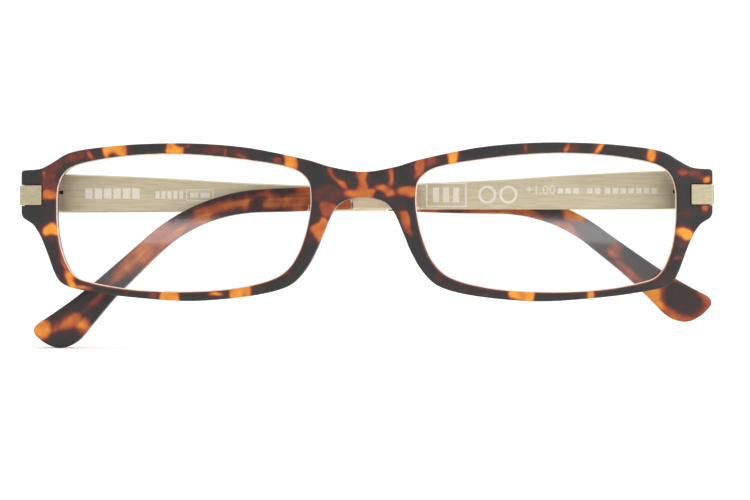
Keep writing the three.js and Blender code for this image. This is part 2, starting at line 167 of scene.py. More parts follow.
def spline(points, steps, closed=False, power=0.0):
    """Catmull-Rom curve through the points: power 0 is the uniform kind, and 0.5 the centripetal kind."""
    p = np.asarray(points, float)
    n = len(p)
    made = []
    for i in range(n if closed else n - 1):
        picks = [i - 1, i, i + 1, i + 2]
        a, b, c, d = [p[k % n] if closed else p[min(max(k, 0), n - 1)] for k in picks]
        ab, bc, cd = [np.linalg.norm(v) ** power for v in (b - a, c - b, d - c)]
        leave = ((b - a) / ab - (c - a) / (ab + bc) + (c - b) / bc) * bc
        arrive = ((c - b) / bc - (d - b) / (bc + cd) + (d - c) / cd) * bc
        for t in np.arange(steps) / steps:
            curve = (2 * t**3 - 3 * t**2 + 1) * b + (3 * t**2 - 2 * t**3) * c
            made.append(curve + (t**3 - 2 * t**2 + t) * leave + (t**3 - t**2) * arrive)
    if not closed:
        made.append(p[-1])
    return np.array(made)


def mirrored(points):
    return np.array([(-x, z) for x, z in reversed(list(points))])


def grown(loop, distance):
    """The closed loop moved outwards by a distance."""
    along = np.roll(loop, -1, axis=0) - np.roll(loop, 1, axis=0)
    along /= np.linalg.norm(along, axis=1)[:, None]
    area = np.sum(loop[:, 0] * np.roll(loop[:, 1], -1) - np.roll(loop[:, 0], -1) * loop[:, 1])
    return loop + np.stack([along[:, 1], -along[:, 0]], axis=1) * distance * np.sign(area)


def opening(sign, grow=0.0, steps=10):
    loop = grown(spline(OPENING, steps, closed=True, power=0.5), grow)
    return loop if sign > 0 else mirrored(loop)


def front_outline():
    """The front's outline, clockwise from the upper left corner."""
    arc = np.linspace(math.pi / 2, 0, 6)[1:]
    corner = [(SIDE_X + CORNER_ROUND * (math.cos(a) - 1), SIDE_TOP + CORNER_ROUND * math.sin(a)) for a in arc]
    brow = spline([*mirrored(BROW), *BROW[1:]], 14)
    under = spline([*UNDERSIDE, *mirrored(UNDERSIDE)[1:]], 10)
    return np.array([*brow, *corner, *under, *mirrored(corner)])


def circle(x, z, radius, sides):
    turns = np.linspace(0, 2 * math.pi, sides, endpoint=False)
    return np.array([(x + radius * math.cos(a), z + radius * math.sin(a)) for a in turns])


def face_y(x):
    """The y of the bowed front face."""
    return x * x / (2 * FACE_RADIUS)


# ---- Meshes ----
def add_mesh(name, points, faces, smooth=True):
    mesh = bpy.data.meshes.new(name)
    mesh.from_pydata([tuple(p) for p in to_metres(points)], [], [tuple(f) for f in faces])
    bm = bmesh.new()
    bm.from_mesh(mesh)
    bmesh.ops.recalc_face_normals(bm, faces=bm.faces)
    for face in bm.faces:
        face.smooth = smooth
    bm.to_mesh(mesh)
    bm.free()
    obj = bpy.data.objects.new(name, mesh)
    bpy.context.scene.collection.objects.link(obj)
    return obj


def band(first, second, n):
    """Faces between two rings of n points, each ring given by the number of its first point."""
    return [(first + i, first + (i + 1) % n, second + (i + 1) % n, second + i) for i in range(n)]


def merged(solids):
    points, faces = [], []
    for some_points, some_faces in solids:
        faces += [tuple(i + len(points) for i in face) for face in some_faces]
        points += [tuple(p) for p in some_points]
    return points, faces


def settle(obj):
    """Applies the object's modifiers."""
    bpy.context.view_layer.update()
    depsgraph = bpy.context.evaluated_depsgraph_get()
    mesh = bpy.data.meshes.new_from_object(obj.evaluated_get(depsgraph))
    obj.modifiers.clear()
    obj.data = mesh
    return obj


def within(loops, points):
    """Which points lie inside the first loop and outside the others."""
    odd = np.zeros(len(points), bool)
    for loop in loops:
        for (x0, z0), (x1, z1) in zip(loop, np.roll(loop, -1, axis=0)):
            if z0 != z1:
                crosses = (z0 > points[:, 1]) != (z1 > points[:, 1])
                odd ^= crosses & (points[:, 0] < (x1 - x0) * (points[:, 1] - z0) / (z1 - z0) + x0)
    return odd


def prism(loops, front, back):
    """Closed solid between y = front(x) and y = back(x).

    The first loop is its outline, and the others are holes.
    """
    flat = np.concatenate(loops)
    edges, start = [], 0
    for loop in loops:
        n = len(loop)
        edges += [(start + i, start + (i + 1) % n) for i in range(n)]
        start += n
    made = geometry.delaunay_2d_cdt([Vector(p) for p in flat], edges, [], 1, 1e-7)
    corners = np.array([tuple(p) for p in made[0]])
    triangles = np.array(made[2])
    triangles = triangles[within(loops, corners[triangles].mean(axis=1))]
    n = len(corners)
    points = [(x, front(x), z) for x, z in corners] + [(x, back(x), z) for x, z in corners]
    faces = [tuple(t) for t in triangles] + [tuple(t[::-1] + n) for t in triangles]
    return points, faces + [(a, b, b + n, a + n) for a, b in edges]


def column(plan, z0, z1):
    """Closed solid with a plan in x and y."""
    n = len(plan)
    points = [(x, y, z0) for x, y in plan] + [(x, y, z1) for x, y in plan]
    faces = [tuple(range(n)), tuple(reversed(range(n, 2 * n)))]
    return points, faces + band(0, n, n)


def box(low, high):
    plan = [(low[0], low[1]), (high[0], low[1]), (high[0], high[1]), (low[0], high[1])]
    return column(plan, low[2], high[2])


def moulded(name, solids, voxel=0.2, rounds=8):
    """One smooth skin round overlapping solids, with every edge softened as a mould leaves it."""
    obj = add_mesh(name, *merged(solids))
    skin = obj.modifiers.new("skin", "REMESH")
    skin.mode = "VOXEL"
    skin.voxel_size = voxel * MM
    skin.use_smooth_shade = True
    soften = obj.modifiers.new("soften", "SMOOTH")
    soften.iterations = rounds
    return settle(obj)


def cut(obj, solids):
    """Takes the solids out of the object, leaving sharp edges."""
    for solid in solids:
        tool = add_mesh("cutter", *solid, smooth=False)
        trim = obj.modifiers.new("cut", "BOOLEAN")
        trim.operation = "DIFFERENCE"
        trim.solver = "MANIFOLD"
        trim.object = tool
        settle(obj)
        bpy.data.objects.remove(tool)


def bevelled(obj, width):
    bevel = obj.modifiers.new("edges", "BEVEL")
    bevel.width = width * MM
    bevel.segments = 2
    bevel.limit_method = "ANGLE"
    bevel.angle_limit = math.radians(30)
    return obj


# ---- Tortoiseshell pattern ----
# Patches on the front: x, z, half width, half height, turn in degrees, and how light it is from 0 to 1
FRONT_LIGHT = [
    # brow of the left rim
    (-48.9, 14.2, 2.45, 4, 0, 1), (-36.9, 14.5, 1.75, 4, 0, 1), (-34.6, 14.8, 0.8, 0.5, 20, 0.5),
    (-53.9, 13.2, 0.5, 1.3, 42, 0.8), (-57, 13.1, 2.8, 1.1, 18, 0.34), (-61, 11.3, 2.6, 1.2, 38, 0.34),
    (-29.6, 14.2, 2.6, 1.1, -5, 0.3), (-26.9, 13.7, 0.22, 1.3, 0, 0.72), (-23.7, 12.9, 1.2, 0.45, -8, 0.6),
    (-24.5, 13.7, 2, 0.9, -8, 0.28), (-14.1, 11.8, 1.35, 4, 0, 0.95), (-16.6, 11.8, 1.4, 1, -15, 0.35),
    # left end piece and the side of the left rim
    (-63.4, 9.6, 0.35, 1.3, -8, 0.7), (-62.4, 8, 1.8, 3.6, 0, 0.36), (-62.5, 5.6, 2, 1.05, 0, 0.72),
    (-61.9, -1.5, 1.65, 1.55, 0, 1), (-57.9, -11.3, 1.05, 2.4, 22, 1), (-59.3, -8.2, 0.35, 2.6, 20, 0.75),
    (-55.6, -12.7, 1.9, 0.55, -10, 0.8), (-46.7, -13.9, 0.28, 0.8, 0, 0.42),
    # foot of the left rim
    (-38, -14.5, 1.95, 4, 0, 0.95), (-41, -14.2, 1.4, 0.9, 0, 0.35), (-28.7, -13.9, 1.5, 0.55, 0, 0.95),
    (-24.1, -13.6, 2.05, 4, 0, 1), (-14.8, -9.9, 0.6, 0.5, 0, 0.4),
    # bridge and the sides of the nose gap
    (-4.8, 8.5, 3.4, 0.8, -50, 0.74), (-0.3, 8.2, 1.4, 3.6, 0, 0.72), (-0.4, 5.7, 3.6, 1.3, 0, 0.76),
    (4.3, 6.2, 2.2, 1.2, -20, 0.74), (5.3, 8.8, 0.8, 2.2, 0, 0.66), (10.9, 10.7, 1.1, 2.5, -20, 0.7),
    (8.6, 6, 2.2, 1.3, 0, 0.68), (-7, 5.5, 3, 2, 0, 0.27), (-6.9, 2.6, 2, 1.6, -25, 0.54),
    (-8.6, -1.3, 1.8, 2.7, -20, 0.76), (8.2, 0.6, 1.1, 3.3, 18, 0.64), (12.9, 11.9, 1.5, 1.3, 0, 0.4),
    # brow of the right rim
    (17.3, 12.8, 1.05, 4, 3, 1), (14.3, 12, 1.2, 0.8, 12, 0.28), (31.4, 14.4, 0.5, 1.2, 0, 0.45),
    (39.4, 14.5, 0.42, 1.6, -16, 0.85), (40.9, 14.5, 1.3, 1.2, 0, 0.33), (45.7, 14.4, 0.5, 1.9, -38, 0.92),
    (56, 13.1, 0.9, 1.8, -10, 0.95),
    # right end piece and the side of the right rim
    (62.3, 9.9, 1.3, 0.7, 0, 0.52), (65, 9.3, 1.8, 0.9, -15, 0.42), (66.8, 8.5, 0.75, 0.8, 0, 0.85),
    (66.6, 3.1, 0.8, 0.8, -10, 0.88), (62.5, -2.1, 2.3, 1.05, -17, 1), (61.2, -6.8, 0.9, 0.4, 15, 0.42),
    (61.8, -3.9, 1.6, 1.3, 0, 0.26),
    # foot of the right rim
    (30.6, -14, 2.5, 4, 0, 1), (44.1, -13.9, 0.8, 4, 0, 0.95), (23.8, -14.2, 0.6, 0.35, 0, 0.4),
    (14.7, -10.8, 1.2, 1.1, 0, 0.25), (20.3, -12.6, 2, 1, -10, 0.15),
]
FRONT_DARK = [
    (-49.2, 12.7, 1.4, 0.9, 0, 0.9), (-36, 15.5, 0.85, 0.65, 0, 0.9), (-61.9, -3.6, 1.1, 1.35, 0, 1),
    (-55.9, -11.4, 1.4, 0.5, -20, 0.9), (-26.8, -13.8, 0.4, 0.3, 0, 0.8), (-28.6, -14.9, 1.9, 0.45, 0, 0.9),
    (-9.7, 1.1, 1.4, 1.35, 0, 0.95), (-10.7, -3.9, 1.5, 2, -14, 0.95), (-9.9, 9.7, 2.7, 3.2, 0, 0.9),
    (-3.6, 9.5, 2.4, 1.3, -15, 0.85), (-2.3, 8, 1.2, 1.6, 25, 0.85), (2.8, 8.7, 2.2, 1.35, 8, 0.85),
    (7.9, 9.5, 2, 1.9, -5, 0.85), (3.3, 5.3, 1, 0.85, -20, 0.9), (6.8, 3.7, 2.3, 1.4, -15, 0.9),
    (10.8, -0.8, 1.2, 3.2, 10, 0.95), (28.9, -15, 1.5, 0.4, -10, 0.8),
]
# Patches on the tips: distance along, height above the centre line, then as above
TIP_LIGHT = {
    "right": [
        (4, 0, 11, 3.6, 0, 0.66), (16.5, 0.5, 3.4, 2.4, 15, 0.72), (26, 0, 10, 2.3, -3, 0.66),
        (30.5, -0.8, 3.6, 1.6, 8, 0.72), (42, 0, 13, 2.5, 0, 0.64), (44, 0.2, 10, 1.1, 0, 0.68),
        (56, -0.2, 5, 1.1, 0, 0.45), (61, -0.1, 3, 0.4, 0, 0.5), (64.2, 0, 2.7, 2, 0, 0.74),
        (63.3, -2.2, 2, 1.6, -10, 0.84), (69.3, 3, 2, 2.3, 0, 0.92), (67.3, 1.2, 2, 1.1, 0, 0.55),
    ],
    "left": [
        (4, -1, 9, 3.4, 0, 0.66), (16, -1.2, 14, 3, 0, 0.64), (28, 0, 6, 2.8, 0, 0.62),
        (37.6, 1.5, 3.2, 1.5, 8, 0.88), (38, -1.8, 5, 1.5, 0, 0.56), (48.2, 0.3, 2.2, 1.8, 0, 0.62),
        (52.6, -1.4, 4, 1.3, -6, 0.62),
        (64.5, 0, 8.5, 5.5, 0, 0.58), (59.3, -2.1, 2.2, 2, -15, 0.92), (61.4, -2.9, 2.6, 1.2, -8, 0.86),
        (66.5, -3, 3, 1, 40, 0.74),
    ],
}
TIP_DARK = {
    "right": [
        (13.6, 1.7, 2.6, 1, 0, 0.85), (18.8, -0.2, 1.8, 0.9, -35, 0.85), (24, 1.8, 7, 0.9, 0, 0.8),
        (24.6, -2, 4, 0.8, 0, 0.75), (33.8, 1, 2.4, 1.2, 0, 0.7), (58, 1.7, 6, 1, 0, 0.9),
        (66.8, -1.6, 3, 1.2, 25, 0.95), (51.5, -1.6, 4, 0.9, 0, 0.7),
    ],
    "left": [
        (14, -1.6, 2.2, 0.8, 0, 0.6), (31.6, 0.4, 3, 1.4, 0, 0.9), (42.8, 0.4, 3.6, 2.1, 0, 0.9),
        (53.6, 1.4, 4.8, 1.9, 0, 0.9), (64.6, 0.9, 3.9, 2.8, 0, 1),
    ],
}
SEEDS = {"front": 3, "right": 11, "left": 23}
FRONT_SOFTNESS = 1.0  # width of the blurred edge of a patch
TIP_SOFTNESS = 1.8
# Red-brown stain round the light patches
HALO = {"grow": 0.8, "softness": 1.8, "amount": 0.24}
# How far a patch's edge wanders at the surface, and how much more per millimetre of depth
WANDER = {"scale": 0.55, "scale_deep": 0.3, "surface": 0.33, "per_depth": 0.154, "deepest": 4}
# Faint light areas between the patches
CLOUDS = {"scale": (0.16, 0.3), "seed": 5, "amount": 0.4}
# Slow changes of lightness inside the patches
SHADING = {"scale": (0.5, 0.5), "seed": 9, "middle": 0.94, "amount": 0.3}
# Streaks along a tip, which fade out over a distance before its end
STREAKS = {"scale": (0.12, 2.4), "amount": 0.3, "end": 58, "fade": 8}
# Painted light on the thin inner edge of the rims, for light that comes through there: full below the top,
# and least far above it
GLOW = {"reach": 0.45, "softness": 0.35, "amount": 0.42, "top": 4, "fade": 6, "least": 0.25}


def coverage(flat, patches, softness, grow=0.0):
    """How far each point of an (n, 2) array lies in the strongest of the patches, from 0 to 1."""
    most = np.zeros(len(flat))
    for x, z, wide, high, turn, strength in patches:
        c, s = math.cos(math.radians(turn)), math.sin(math.radians(turn))
        dx, dz = flat[:, 0] - x, flat[:, 1] - z
        wide, high = wide + grow, high + grow
        reach = np.hypot((dx * c + dz * s) / wide, (dz * c - dx * s) / high)
        share = np.clip(0.5 + (1 - reach) * min(wide, high) / softness, 0, 1)
        most = np.maximum(most, strength * share * share * (3 - 2 * share))
    return most


def wandering(flat, depth, seed):
    """The points moved a little by smooth noise, and more the deeper they lie.

    This keeps a patch from having the same outline all through the thickness.
    """
    moved = flat.copy()
    scale = WANDER["scale"]
    for i, ((x, z), deep) in enumerate(zip(flat, depth)):
        place = Vector((x * scale, z * scale, seed + deep * WANDER["scale_deep"]))
        shift = noise.noise_vector(place)
        reach = WANDER["surface"] + WANDER["per_depth"] * min(deep, WANDER["deepest"])
        moved[i] += (shift.x * reach, shift.y * reach)
    return moved


def smooth_noise(flat, seed, scale):
    """Noise round zero at the points, with a scale for each direction."""
    across, up = scale
    return np.array([noise.noise(Vector((x * across, z * up, seed))) for x, z in flat])


def store(obj, amount):
    """Keeps the pattern on the object's points: 0 is the dark brown, and 1 the brightest amber."""
    pattern = obj.data.attributes.new("tortoise", "FLOAT", "POINT")
    pattern.data.foreach_set("value", np.clip(amount, 0, 1).astype(np.float32))


def mottled(flat, depth, light, dark, seed, softness):
    """Lightness of the tortoiseshell at points with a depth behind the face that the patches lie on."""
    moved = wandering(flat, depth, seed)
    clouds = np.maximum(smooth_noise(flat, seed + CLOUDS["seed"], CLOUDS["scale"]), 0)
    patches = np.maximum(coverage(moved, light, softness), CLOUDS["amount"] * clouds)
    patches *= 1 - coverage(moved, dark, softness)
    halo = HALO["amount"] * coverage(moved, light, HALO["softness"], HALO["grow"])
    shading = smooth_noise(flat, seed + SHADING["seed"], SHADING["scale"])
    return (SHADING["middle"] + SHADING["amount"] * shading) * np.maximum(patches, halo)


def rim_glow(flat):
    """Painted light, strongest on the edge of the openings, and weaker towards their tops."""
    nearest = np.full(len(flat), np.inf)
    for sign in SIDES.values():
        for point in opening(sign, steps=24):
            nearest = np.minimum(nearest, np.hypot(*(flat - point).T))
    fade = np.clip((GLOW["top"] - flat[:, 1]) / GLOW["fade"], GLOW["least"], 1)
    return GLOW["amount"] * fade * np.clip((GLOW["reach"] - nearest) / GLOW["softness"], 0, 1)


def points_of(obj):
    """The object's points in the front's own axes."""
    made = np.zeros(len(obj.data.vertices) * 3, np.float32)
    obj.data.vertices.foreach_get("co", made)
    return made.reshape(-1, 3).astype(float) / MM - ORIGIN


# ---- Materials ----
PLASTIC_IOR = 1.49
BOTH_FACES = 1.9  # how much more a lens reflects than one of its faces
NOISE_LOW, NOISE_HIGH = 0.3, 0.7  # where a noise texture's values mostly lie


def colour(code):
    """Linear colour from a six-digit sRGB code."""
    parts = [int(code[i:i + 2], 16) / 255 for i in (0, 2, 4)]
    return [c / 12.92 if c <= 0.04045 else ((c + 0.055) / 1.055) ** 2.4 for c in parts] + [1]


class Look:
    """A node material with a Principled shader, and short ways to add nodes to it."""

    def __init__(self, name, **values):
        self.material = bpy.data.materials.new(name)
        self.material.use_nodes = True
        self.nodes = self.material.node_tree.nodes
        self.links = self.material.node_tree.links
        self.shader = self.nodes["Principled BSDF"]
        for key, value in values.items():
            self.shader.inputs[key.replace("_", " ")].default_value = value

    def node(self, kind, *first, settings=None, **named):
        """A new node, with values or links for its first inputs and for inputs by name."""
        made = self.nodes.new(kind)
        for key, value in (settings or {}).items():
            setattr(made, key, value)
        by_name = {key.replace("_", " "): value for key, value in named.items()}
        for key, value in [*enumerate(first), *by_name.items()]:
            socket = made.inputs[key]
            if isinstance(value, bpy.types.NodeSocket):
                self.links.new(value, socket)
            else:
                socket.default_value = value
        return made

    def maths(self, operation, first, second, clamp=False):
        settings = {"operation": operation, "use_clamp": clamp}
        return self.node("ShaderNodeMath", first, second, settings=settings).outputs[0]

    def noise(self, scale, detail, stretch=(1, 1, 1)):
        place = self.node("ShaderNodeTexCoord").outputs["Object"]
        spread = self.node("ShaderNodeMapping", Vector=place, Scale=[s * scale for s in stretch])
        made = self.node("ShaderNodeTexNoise", Vector=spread.outputs["Vector"], Scale=1.0, Detail=detail)
        return made.outputs["Fac"]

    def span(self, value, low, high):
        """The noise value spread from low to high."""
        limits = {"From_Min": NOISE_LOW, "From_Max": NOISE_HIGH, "To_Min": low, "To_Max": high}
        return self.node("ShaderNodeMapRange", Value=value, **limits).outputs["Result"]

    def ramp(self, value, stops):
        made = self.node("ShaderNodeValToRGB", Fac=value)
        elements = made.color_ramp.elements
        while len(elements) < len(stops):
            elements.new(0.5)
        for element, (place, code) in zip(elements, stops):
            element.position = place
            element.color = colour(code)
        return made.outputs["Color"]

    def bump(self, height, strength, distance):
        made = self.node("ShaderNodeBump", Height=height, Strength=strength, Distance=distance * MM)
        self.links.new(made.outputs["Normal"], self.shader.inputs["Normal"])

    def set(self, socket, value):
        self.links.new(value, self.shader.inputs[socket])


def tortoise():
    look = Look("tortoiseshell", IOR=PLASTIC_IOR)
    pattern = look.node("ShaderNodeAttribute", settings={"attribute_name": "tortoise"})
    mottle = look.span(look.noise(700, 4), -0.07, 0.07)
    stops = [
        (0, "171616"), (0.15, "2A1512"), (0.32, "521B10"), (0.5, "8A3512"), (0.72, "B25B10"), (1, "DB8C18"),
    ]
    look.set("Base Color", look.ramp(look.maths("ADD", pattern.outputs["Fac"], mottle), stops))
    look.set("Roughness", look.span(look.noise(450, 5), 0.36, 0.5))
    look.bump(look.noise(5000, 3), 0.12, 0.02)
    return look.material


def brushed(name, darker, lighter):
    """Metal brushed along the object's x, where the noise is stretched out."""
    look = Look(name, Metallic=1.0)
    along = look.noise(400, 4, stretch=(0.5, 9, 9))
    look.set("Base Color", look.ramp(along, [(0.25, darker), (0.75, lighter)]))
    look.set("Roughness", look.span(look.noise(500, 4, stretch=(1, 14, 14)), 0.4, 0.56))
    look.bump(look.noise(700, 4, stretch=(0.6, 12, 12)), 0.25, 0.02)
    return look.material


def clear():
    """Clear acrylic: light goes straight through, and the outer side of each face reflects for both."""
    look = Look("clear_lens")
    look.nodes.remove(look.shader)
    through = look.node("ShaderNodeBsdfTransparent", Color=colour("FCFCFC"))
    gloss = look.node("ShaderNodeBsdfGlossy", Roughness=0.05)
    fresnel = look.node("ShaderNodeFresnel", IOR=PLASTIC_IOR)
    backfacing = look.node("ShaderNodeNewGeometry").outputs["Backfacing"]
    reflected = look.maths("MULTIPLY", fresnel.outputs["Fac"], BOTH_FACES)
    share = look.maths("MULTIPLY", reflected, look.maths("SUBTRACT", 1, backfacing), clamp=True)
    mixed = look.node("ShaderNodeMixShader", share, through.outputs["BSDF"], gloss.outputs["BSDF"])
    look.links.new(mixed.outputs["Shader"], look.nodes["Material Output"].inputs["Surface"])
    return look.material


def plain(name, tones, grain, roughness, smear, bump=None, **values):
    """A material whose colour and gloss vary a little: grain, smear and bump are noises (scale, detail)."""
    look = Look(name, **values)
    look.set("Base Color", look.ramp(look.noise(*grain), list(zip((NOISE_LOW, NOISE_HIGH), tones))))
    look.set("Roughness", look.span(look.noise(*smear), *roughness))
    if bump:
        look.bump(look.noise(*bump), 0.1, 0.01)
    return look.material


def steel():
    tones = ("A79E8C", "C4BCA9")
    return plain("hinge_steel", tones, (900, 3), (0.25, 0.42), (1500, 4), bump=(6000, 2), Metallic=1.0)


def pale_edge_highlight():
    # Pale pinkish tones: a painted highlight for the line where a lens meets its rim
    tones = ("E2BBA4", "F3DCCF")
    smear, bump = (2500, 3), (4000, 2)
    return plain("lens_edge_painted_highlight", tones, (800, 2), (0.25, 0.45), smear, bump, IOR=PLASTIC_IOR)


def painted_slot_shade():
    # Near-black tones: painted shade for the block behind a hinge slot
    tones = ("141110", "221B18")
    smear, bump = (2500, 3), (6000, 2)
    return plain("painted_slot_shade", tones, (1500, 3), (0.45, 0.65), smear, bump, IOR=PLASTIC_IOR)


def ink():
    return plain("pale_ink", ("E4DDCE", "F1EBDD"), (2500, 3), (0.5, 0.7), (3000, 2))


def give(obj, material):
    if obj.material_slots:
        for slot in obj.material_slots:
            slot.link = "OBJECT"
            slot.material = material
    else:
        obj.data.materials.append(material)
    return obj


# ---- Front ----
def end_block(sign, outline):
    """The deep end of the front that carries the hinge and the trim."""
    right = outline if sign > 0 else mirrored(outline)
    kept = [(x, z) for x, z in right if x > END_INNER_X and z > END_FOOT_Z]
    top = kept[0][1]
    loop = np.array([(END_INNER_X, top), *kept, (kept[-1][0], END_FOOT_Z), (END_INNER_X, END_FOOT_Z)])
    return prism([loop if sign > 0 else mirrored(loop)], face_y, lambda _: END_BACK)


def nose_pad(sign):
    """Half of a leaning egg, moulded on to the nose side of the rim."""
    rows, turns = 24, 32
    lean, splay = math.radians(PAD["lean"]) * sign, math.radians(PAD["splay"]) * sign
    points = []
    for up in np.linspace(-math.pi / 2, math.pi / 2, rows):
        for turn in np.linspace(0, 2 * math.pi, turns, endpoint=False):
            x = PAD["across"] * math.cos(up) * math.cos(turn)
            y = PAD["deep"] * math.cos(up) * math.sin(turn)
            z = PAD["high"] * math.sin(up)
            x, y = x * math.cos(splay) + y * math.sin(splay), y * math.cos(splay) - x * math.sin(splay)
            x, z = x * math.cos(lean) - z * math.sin(lean), z * math.cos(lean) + x * math.sin(lean)
            points.append((x + sign * PAD["x"], max(y + PAD["y"], PAD["front"]), z + PAD["z"]))
    starts = range(0, (rows - 1) * turns, turns)
    return points, [face for start in starts for face in band(start, start + turns, turns)]


def trim_plan(sign, grow):
    """A plate on the front face that turns back along the side of the end piece."""
    inner, outer, back = TRIM["inner"] - grow, TRIM["outer"] + grow, TRIM["back"] + grow
    thick = TRIM["thick"] + 2 * grow
    front_inner, front_outer = [face_y(x) - TRIM["proud"] - grow for x in (inner, outer)]
    plan = [
        (inner, front_inner), (outer - TRIM["corner"], front_outer), (outer, front_outer + TRIM["corner"]),
        (outer, back), (outer - thick, back), (outer - thick, front_outer + thick),
        (inner, front_inner + thick),
    ]
    return [(sign * x, y) for x, y in plan]


def trim_solid(sign, grow):
    half = TRIM["height"] / 2 + grow
    return column(trim_plan(sign, grow), TRIM["z"] - half, TRIM["z"] + half)


def hinge_pockets(side):
    """Room for the hinge leaf and its rivets in the back of an end piece."""
    sign = SIDES[side]
    low, high = [np.array(corner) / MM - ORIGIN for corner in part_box(f"hinge_front_{side}")]
    low -= GAP / 2
    high += GAP / 2
    pocket = box((low[0], low[1], low[2]), (high[0], END_BACK + 1, high[2]))
    floor, above = END_BACK - RIVET["length"], END_BACK + 1
    heights = (PIVOT[2] + RIVET["rise"], PIVOT[2] - RIVET["rise"])
    rounds = [circle(sign * RIVET["x"], z, RIVET["radius"], 24) for z in heights]
    return [pocket, *(prism([loop], lambda _: floor, lambda _: above) for loop in rounds)]


def front_frame(material):
    outline = front_outline()
    loops = [outline, *(opening(sign) for sign in SIDES.values())]
    solids = [prism(loops, face_y, lambda x: face_y(x) + RIM_DEPTH)]
    solids += [end_block(sign, outline) for sign in SIDES.values()]
    solids += [nose_pad(sign) for sign in SIDES.values()]
    obj = moulded("tortoiseshell_front", solids, voxel=0.23)
    places = points_of(obj)
    flat = np.stack([places[:, 0], places[:, 2]], axis=1)
    depth = np.maximum(places[:, 1] - face_y(places[:, 0]), 0)
    amount = mottled(flat, depth, FRONT_LIGHT, FRONT_DARK, SEEDS["front"], FRONT_SOFTNESS)
    # Painted light: the rim glow is kept in the same values as the tortoiseshell pattern
    store(obj, np.maximum(amount, rim_glow(flat)))
    for side, sign in SIDES.items():
        cut(obj, [trim_solid(sign, TRIM["gap"]), *hinge_pockets(side)])
    give(obj, material)
    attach(obj, "front")
    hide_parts("front_frame")


def corner_trim(side, material):
    obj = add_mesh(f"brushed_trim_{side}", *trim_solid(SIDES[side], 0), smooth=False)
    give(bevelled(obj, BROKEN_EDGE["trim"]), material)
    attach(obj, "front")
    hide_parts(f"corner_trim_{side}")


# ---- Lenses ----
def lens_y(centre_x, x, z, radius):
    """The y of a lens face that leans with the front at the lens's centre and curves with its own radius."""
    slope = centre_x / FACE_RADIUS
    sag = radius - np.sqrt(radius**2 - (x - centre_x) ** 2 - z**2)
    return face_y(centre_x) + LENS["setback"] + slope * (x - centre_x) + sag


def lens(side, material):
    """Meniscus lens: rings from its middle out to the shape of the opening, on both faces."""
    sign = SIDES[side]
    centre_x = sign * LENS["centre"]
    loop = opening(sign, LENS["seat"], steps=8)
    n = len(loop)
    middle = np.array((centre_x, 0))
    points, faces = [], []
    for radius, push in ((LENS["front"], 0), (LENS["back"], LENS["thick"])):
        first = len(points) + 1
        points.append((centre_x, lens_y(centre_x, centre_x, 0, radius) + push, 0))
        for share in np.linspace(0, 1, LENS_RINGS + 1)[1:]:
            for x, z in middle + (loop - middle) * share:
                points.append((x, lens_y(centre_x, x, z, radius) + push, z))
        faces += [(first - 1, first + i, first + (i + 1) % n) for i in range(n)]
        for ring in range(LENS_RINGS - 1):
            faces += band(first + ring * n, first + (ring + 1) * n, n)
    faces += band(len(points) // 2 - n, len(points) - n, n)
    obj = give(add_mesh(f"clear_lens_{side}", points, faces), material)
    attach(obj, "front")
    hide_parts(f"lens_{side}")


def lens_edge(side, material):
    """A pale ring on the lens's bevel, where a lens meets its rim; its pale colour is a painted highlight."""
    sign = SIDES[side]
    centre_x = sign * LENS["centre"]
    points, faces = [], []
    for k, (grow, push) in enumerate(LENS_EDGE):
        loop = opening(sign, grow, steps=8)
        n = len(loop)
        points += [(x, lens_y(centre_x, x, z, LENS["front"]) + push, z) for x, z in loop]
        faces += band(k * n, (k + 1) % len(LENS_EDGE) * n, n)
    obj = give(add_mesh(f"lens_edge_{side}", points, faces), material)
    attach(obj, "front")


# ---- Temples ----
def fold_of(side):
    """How far a folded temple stands from parallel to the front."""
    return math.radians(abs(JOINTS[f"temple_{side}"]["range_deg"][1] - 90))


def temple_point(side, u, offset, z):
    """From a temple's own axes to the front's: u runs from the hinge to the tip, and offset goes outwards."""
    sign, fold = SIDES[side], fold_of(side)
    x = -sign * u * math.cos(fold) - offset * math.sin(fold)
    y = -sign * u * math.sin(fold) + offset * math.cos(fold)
    return sign * PIVOT[0] + x, PIVOT[1] + y, z


def on_temple(side, solid):
    points, faces = solid
    return [temple_point(side, u, offset, z) for u, offset, z in points], faces


def along_tip(side, distance, height):
    """The u and z of a point by its distance along a tip's bent centre line and its height above it."""
    t = TEMPLES[side]
    straight = t["bend_start"] - t["joint"]
    turn = math.radians(t["drop"]) - TIP_SLOPE
    turned = min(max((distance - straight) / BEND_RADIUS, 0), turn)
    lead = min(distance, straight)
    rest = max(distance - straight - BEND_RADIUS * turn, 0)
    angle = TIP_SLOPE + turned
    u = t["joint"] + lead * math.cos(TIP_SLOPE) + BEND_RADIUS * (math.sin(angle) - math.sin(TIP_SLOPE))
    z = TIP_MIDDLE + t["lift"] - t["dip"] - lead * math.sin(TIP_SLOPE)
    z -= BEND_RADIUS * (math.cos(TIP_SLOPE) - math.cos(angle))
    return (
        u + rest * math.cos(angle) + height * math.sin(angle),
        z - rest * math.sin(angle) + height * math.cos(angle),
    )


def tip_places(side, places):
    """Where points in the front's axes lie on a tip.

    Returns distance along with height above its centre line, and depth behind its inner face.
    """
    sign, fold = SIDES[side], fold_of(side)
    dx, dy = places[:, 0] - sign * PIVOT[0], places[:, 1] - PIVOT[1]
    u = -sign * (dx * math.cos(fold) + dy * math.sin(fold))
    depth = dy * math.cos(fold) - dx * math.sin(fold) - (PLATE_MIDDLE - TIP_THICK / 2)
    flat = np.stack([u, places[:, 2]], axis=1)
    stops = np.arange(-1, math.ceil(TIP_LENGTH) + 2, 0.25)
    line = np.array([along_tip(side, s, 0) for s in stops])
    up = np.array([along_tip(side, s, 1) for s in stops]) - line
    parts = np.array_split(flat, len(flat) // 4000 + 1)
    nearest = np.concatenate([np.argmin(((p[:, None] - line) ** 2).sum(axis=2), axis=1) for p in parts])
    height = ((flat - line[nearest]) * up[nearest]).sum(axis=1)
    return np.stack([stops[nearest], height], axis=1), np.maximum(depth, 0)


